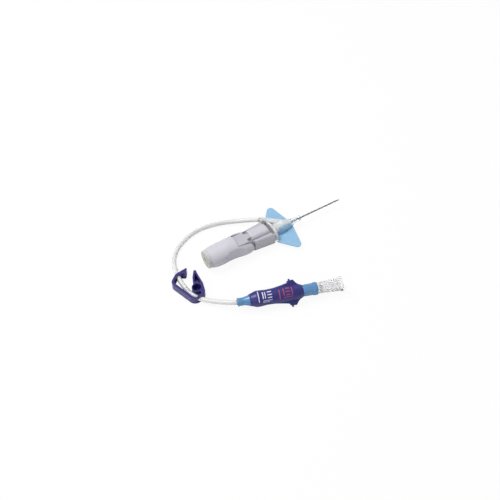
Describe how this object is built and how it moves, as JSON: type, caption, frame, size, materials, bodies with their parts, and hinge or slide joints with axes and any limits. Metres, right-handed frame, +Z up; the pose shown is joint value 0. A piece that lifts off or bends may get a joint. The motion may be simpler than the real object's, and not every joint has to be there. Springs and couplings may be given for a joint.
{
  "type": "iv cannula",
  "caption": "Closed safety catheter set: needle in a winged adapter, telescoping grey grip, and a flexible extension tube with pinch clamp, sleeved luer connector and clear vent plug.",
  "frame": {"origin": "on the table under the middle of the needle, wings and grip; the extension line and its fittings are left out of that middle", "axes": "+X along the needle to its point, +Y to the side of the tube's port, +Z up from the table"},
  "size_m": [0.1089, 0.0778, 0.0116],
  "materials": {
    "needle_steel": "drawn stainless tube, satin",
    "wedge_steel": "pressed stainless, bright",
    "clip_steel": "folded spring strip, satin",
    "catheter_polymer": "extruded, translucent, smooth",
    "clear_plastic": "moulded, clear, polished",
    "seal_rubber": "moulded, soft, matt",
    "wing_blue": "moulded, soft, semi-translucent satin",
    "grip_grey": "moulded, satin with fine grain",
    "sleeve_white": "moulded, natural, slippery satin",
    "chamber_frosted": "moulded, frosted, translucent",
    "vent_filter": "sintered porous disc",
    "tube_clear": "extruded, milky clear, smooth",
    "clamp_purple": "moulded, satin",
    "connector_blue": "moulded, tinted, glossy",
    "sleeve_purple": "moulded, satin, printed marks"
  },
  "bodies": {
    "grip": {"grip_shell": "grip_grey", "needle_hub": "sleeve_white", "needle": "needle_steel", "flash_chamber": "chamber_frosted", "flash_vent": "vent_filter", "extension_tube": "tube_clear", "clamp_frame": "clamp_purple", "luer_connector": "connector_blue", "connector_sleeve": "sleeve_purple"},
    "tip_shield": {"shield_cover": "grip_grey", "clip_housing": "grip_grey", "v_clip": "clip_steel", "retention_washer": "wedge_steel"},
    "sleeve": {"telescoping_sleeve": "sleeve_white"},
    "catheter": {"catheter_adapter": "clear_plastic", "catheter_tube": "catheter_polymer", "crimp_wedge": "wedge_steel", "wings": "wing_blue", "septum": "seal_rubber", "septum_housing": "clear_plastic"},
    "clamp_arm": {"clamp_arm": "clamp_purple"},
    "vent_plug": {"vent_plug": "clear_plastic", "vent_membrane": "vent_filter"}
  },
  "joints": [
    {"name": "needle_retract", "type": "slide", "parent": "grip", "child": "tip_shield", "axis": [1, 0, 0], "range_m": [0, 0.052], "deforming": ["extension_tube"]},
    {"name": "sleeve_slide", "type": "slide", "parent": "grip", "child": "sleeve", "axis": [1, 0, 0], "range_m": [0, 0.026]},
    {"name": "catheter_release", "type": "slide", "parent": "tip_shield", "child": "catheter", "axis": [1, 0, 0], "range_m": [0, 0.01], "deforming": ["extension_tube"]},
    {"name": "clamp_press", "type": "hinge", "parent": "grip", "child": "clamp_arm", "pos_m": [-0.05442, -0.01682, 0.00225], "axis": [0, 0, 1], "range_deg": [0, 20], "deforming": ["extension_tube"]},
    {"name": "plug_pull", "type": "slide", "parent": "grip", "child": "vent_plug", "axis": [0.9464, -0.3231, 0], "range_m": [0, 0.012]}
  ],
  "couplings": [
    {"joint": "sleeve_slide", "follows": "needle_retract", "ratio": 0.5}
  ]
}
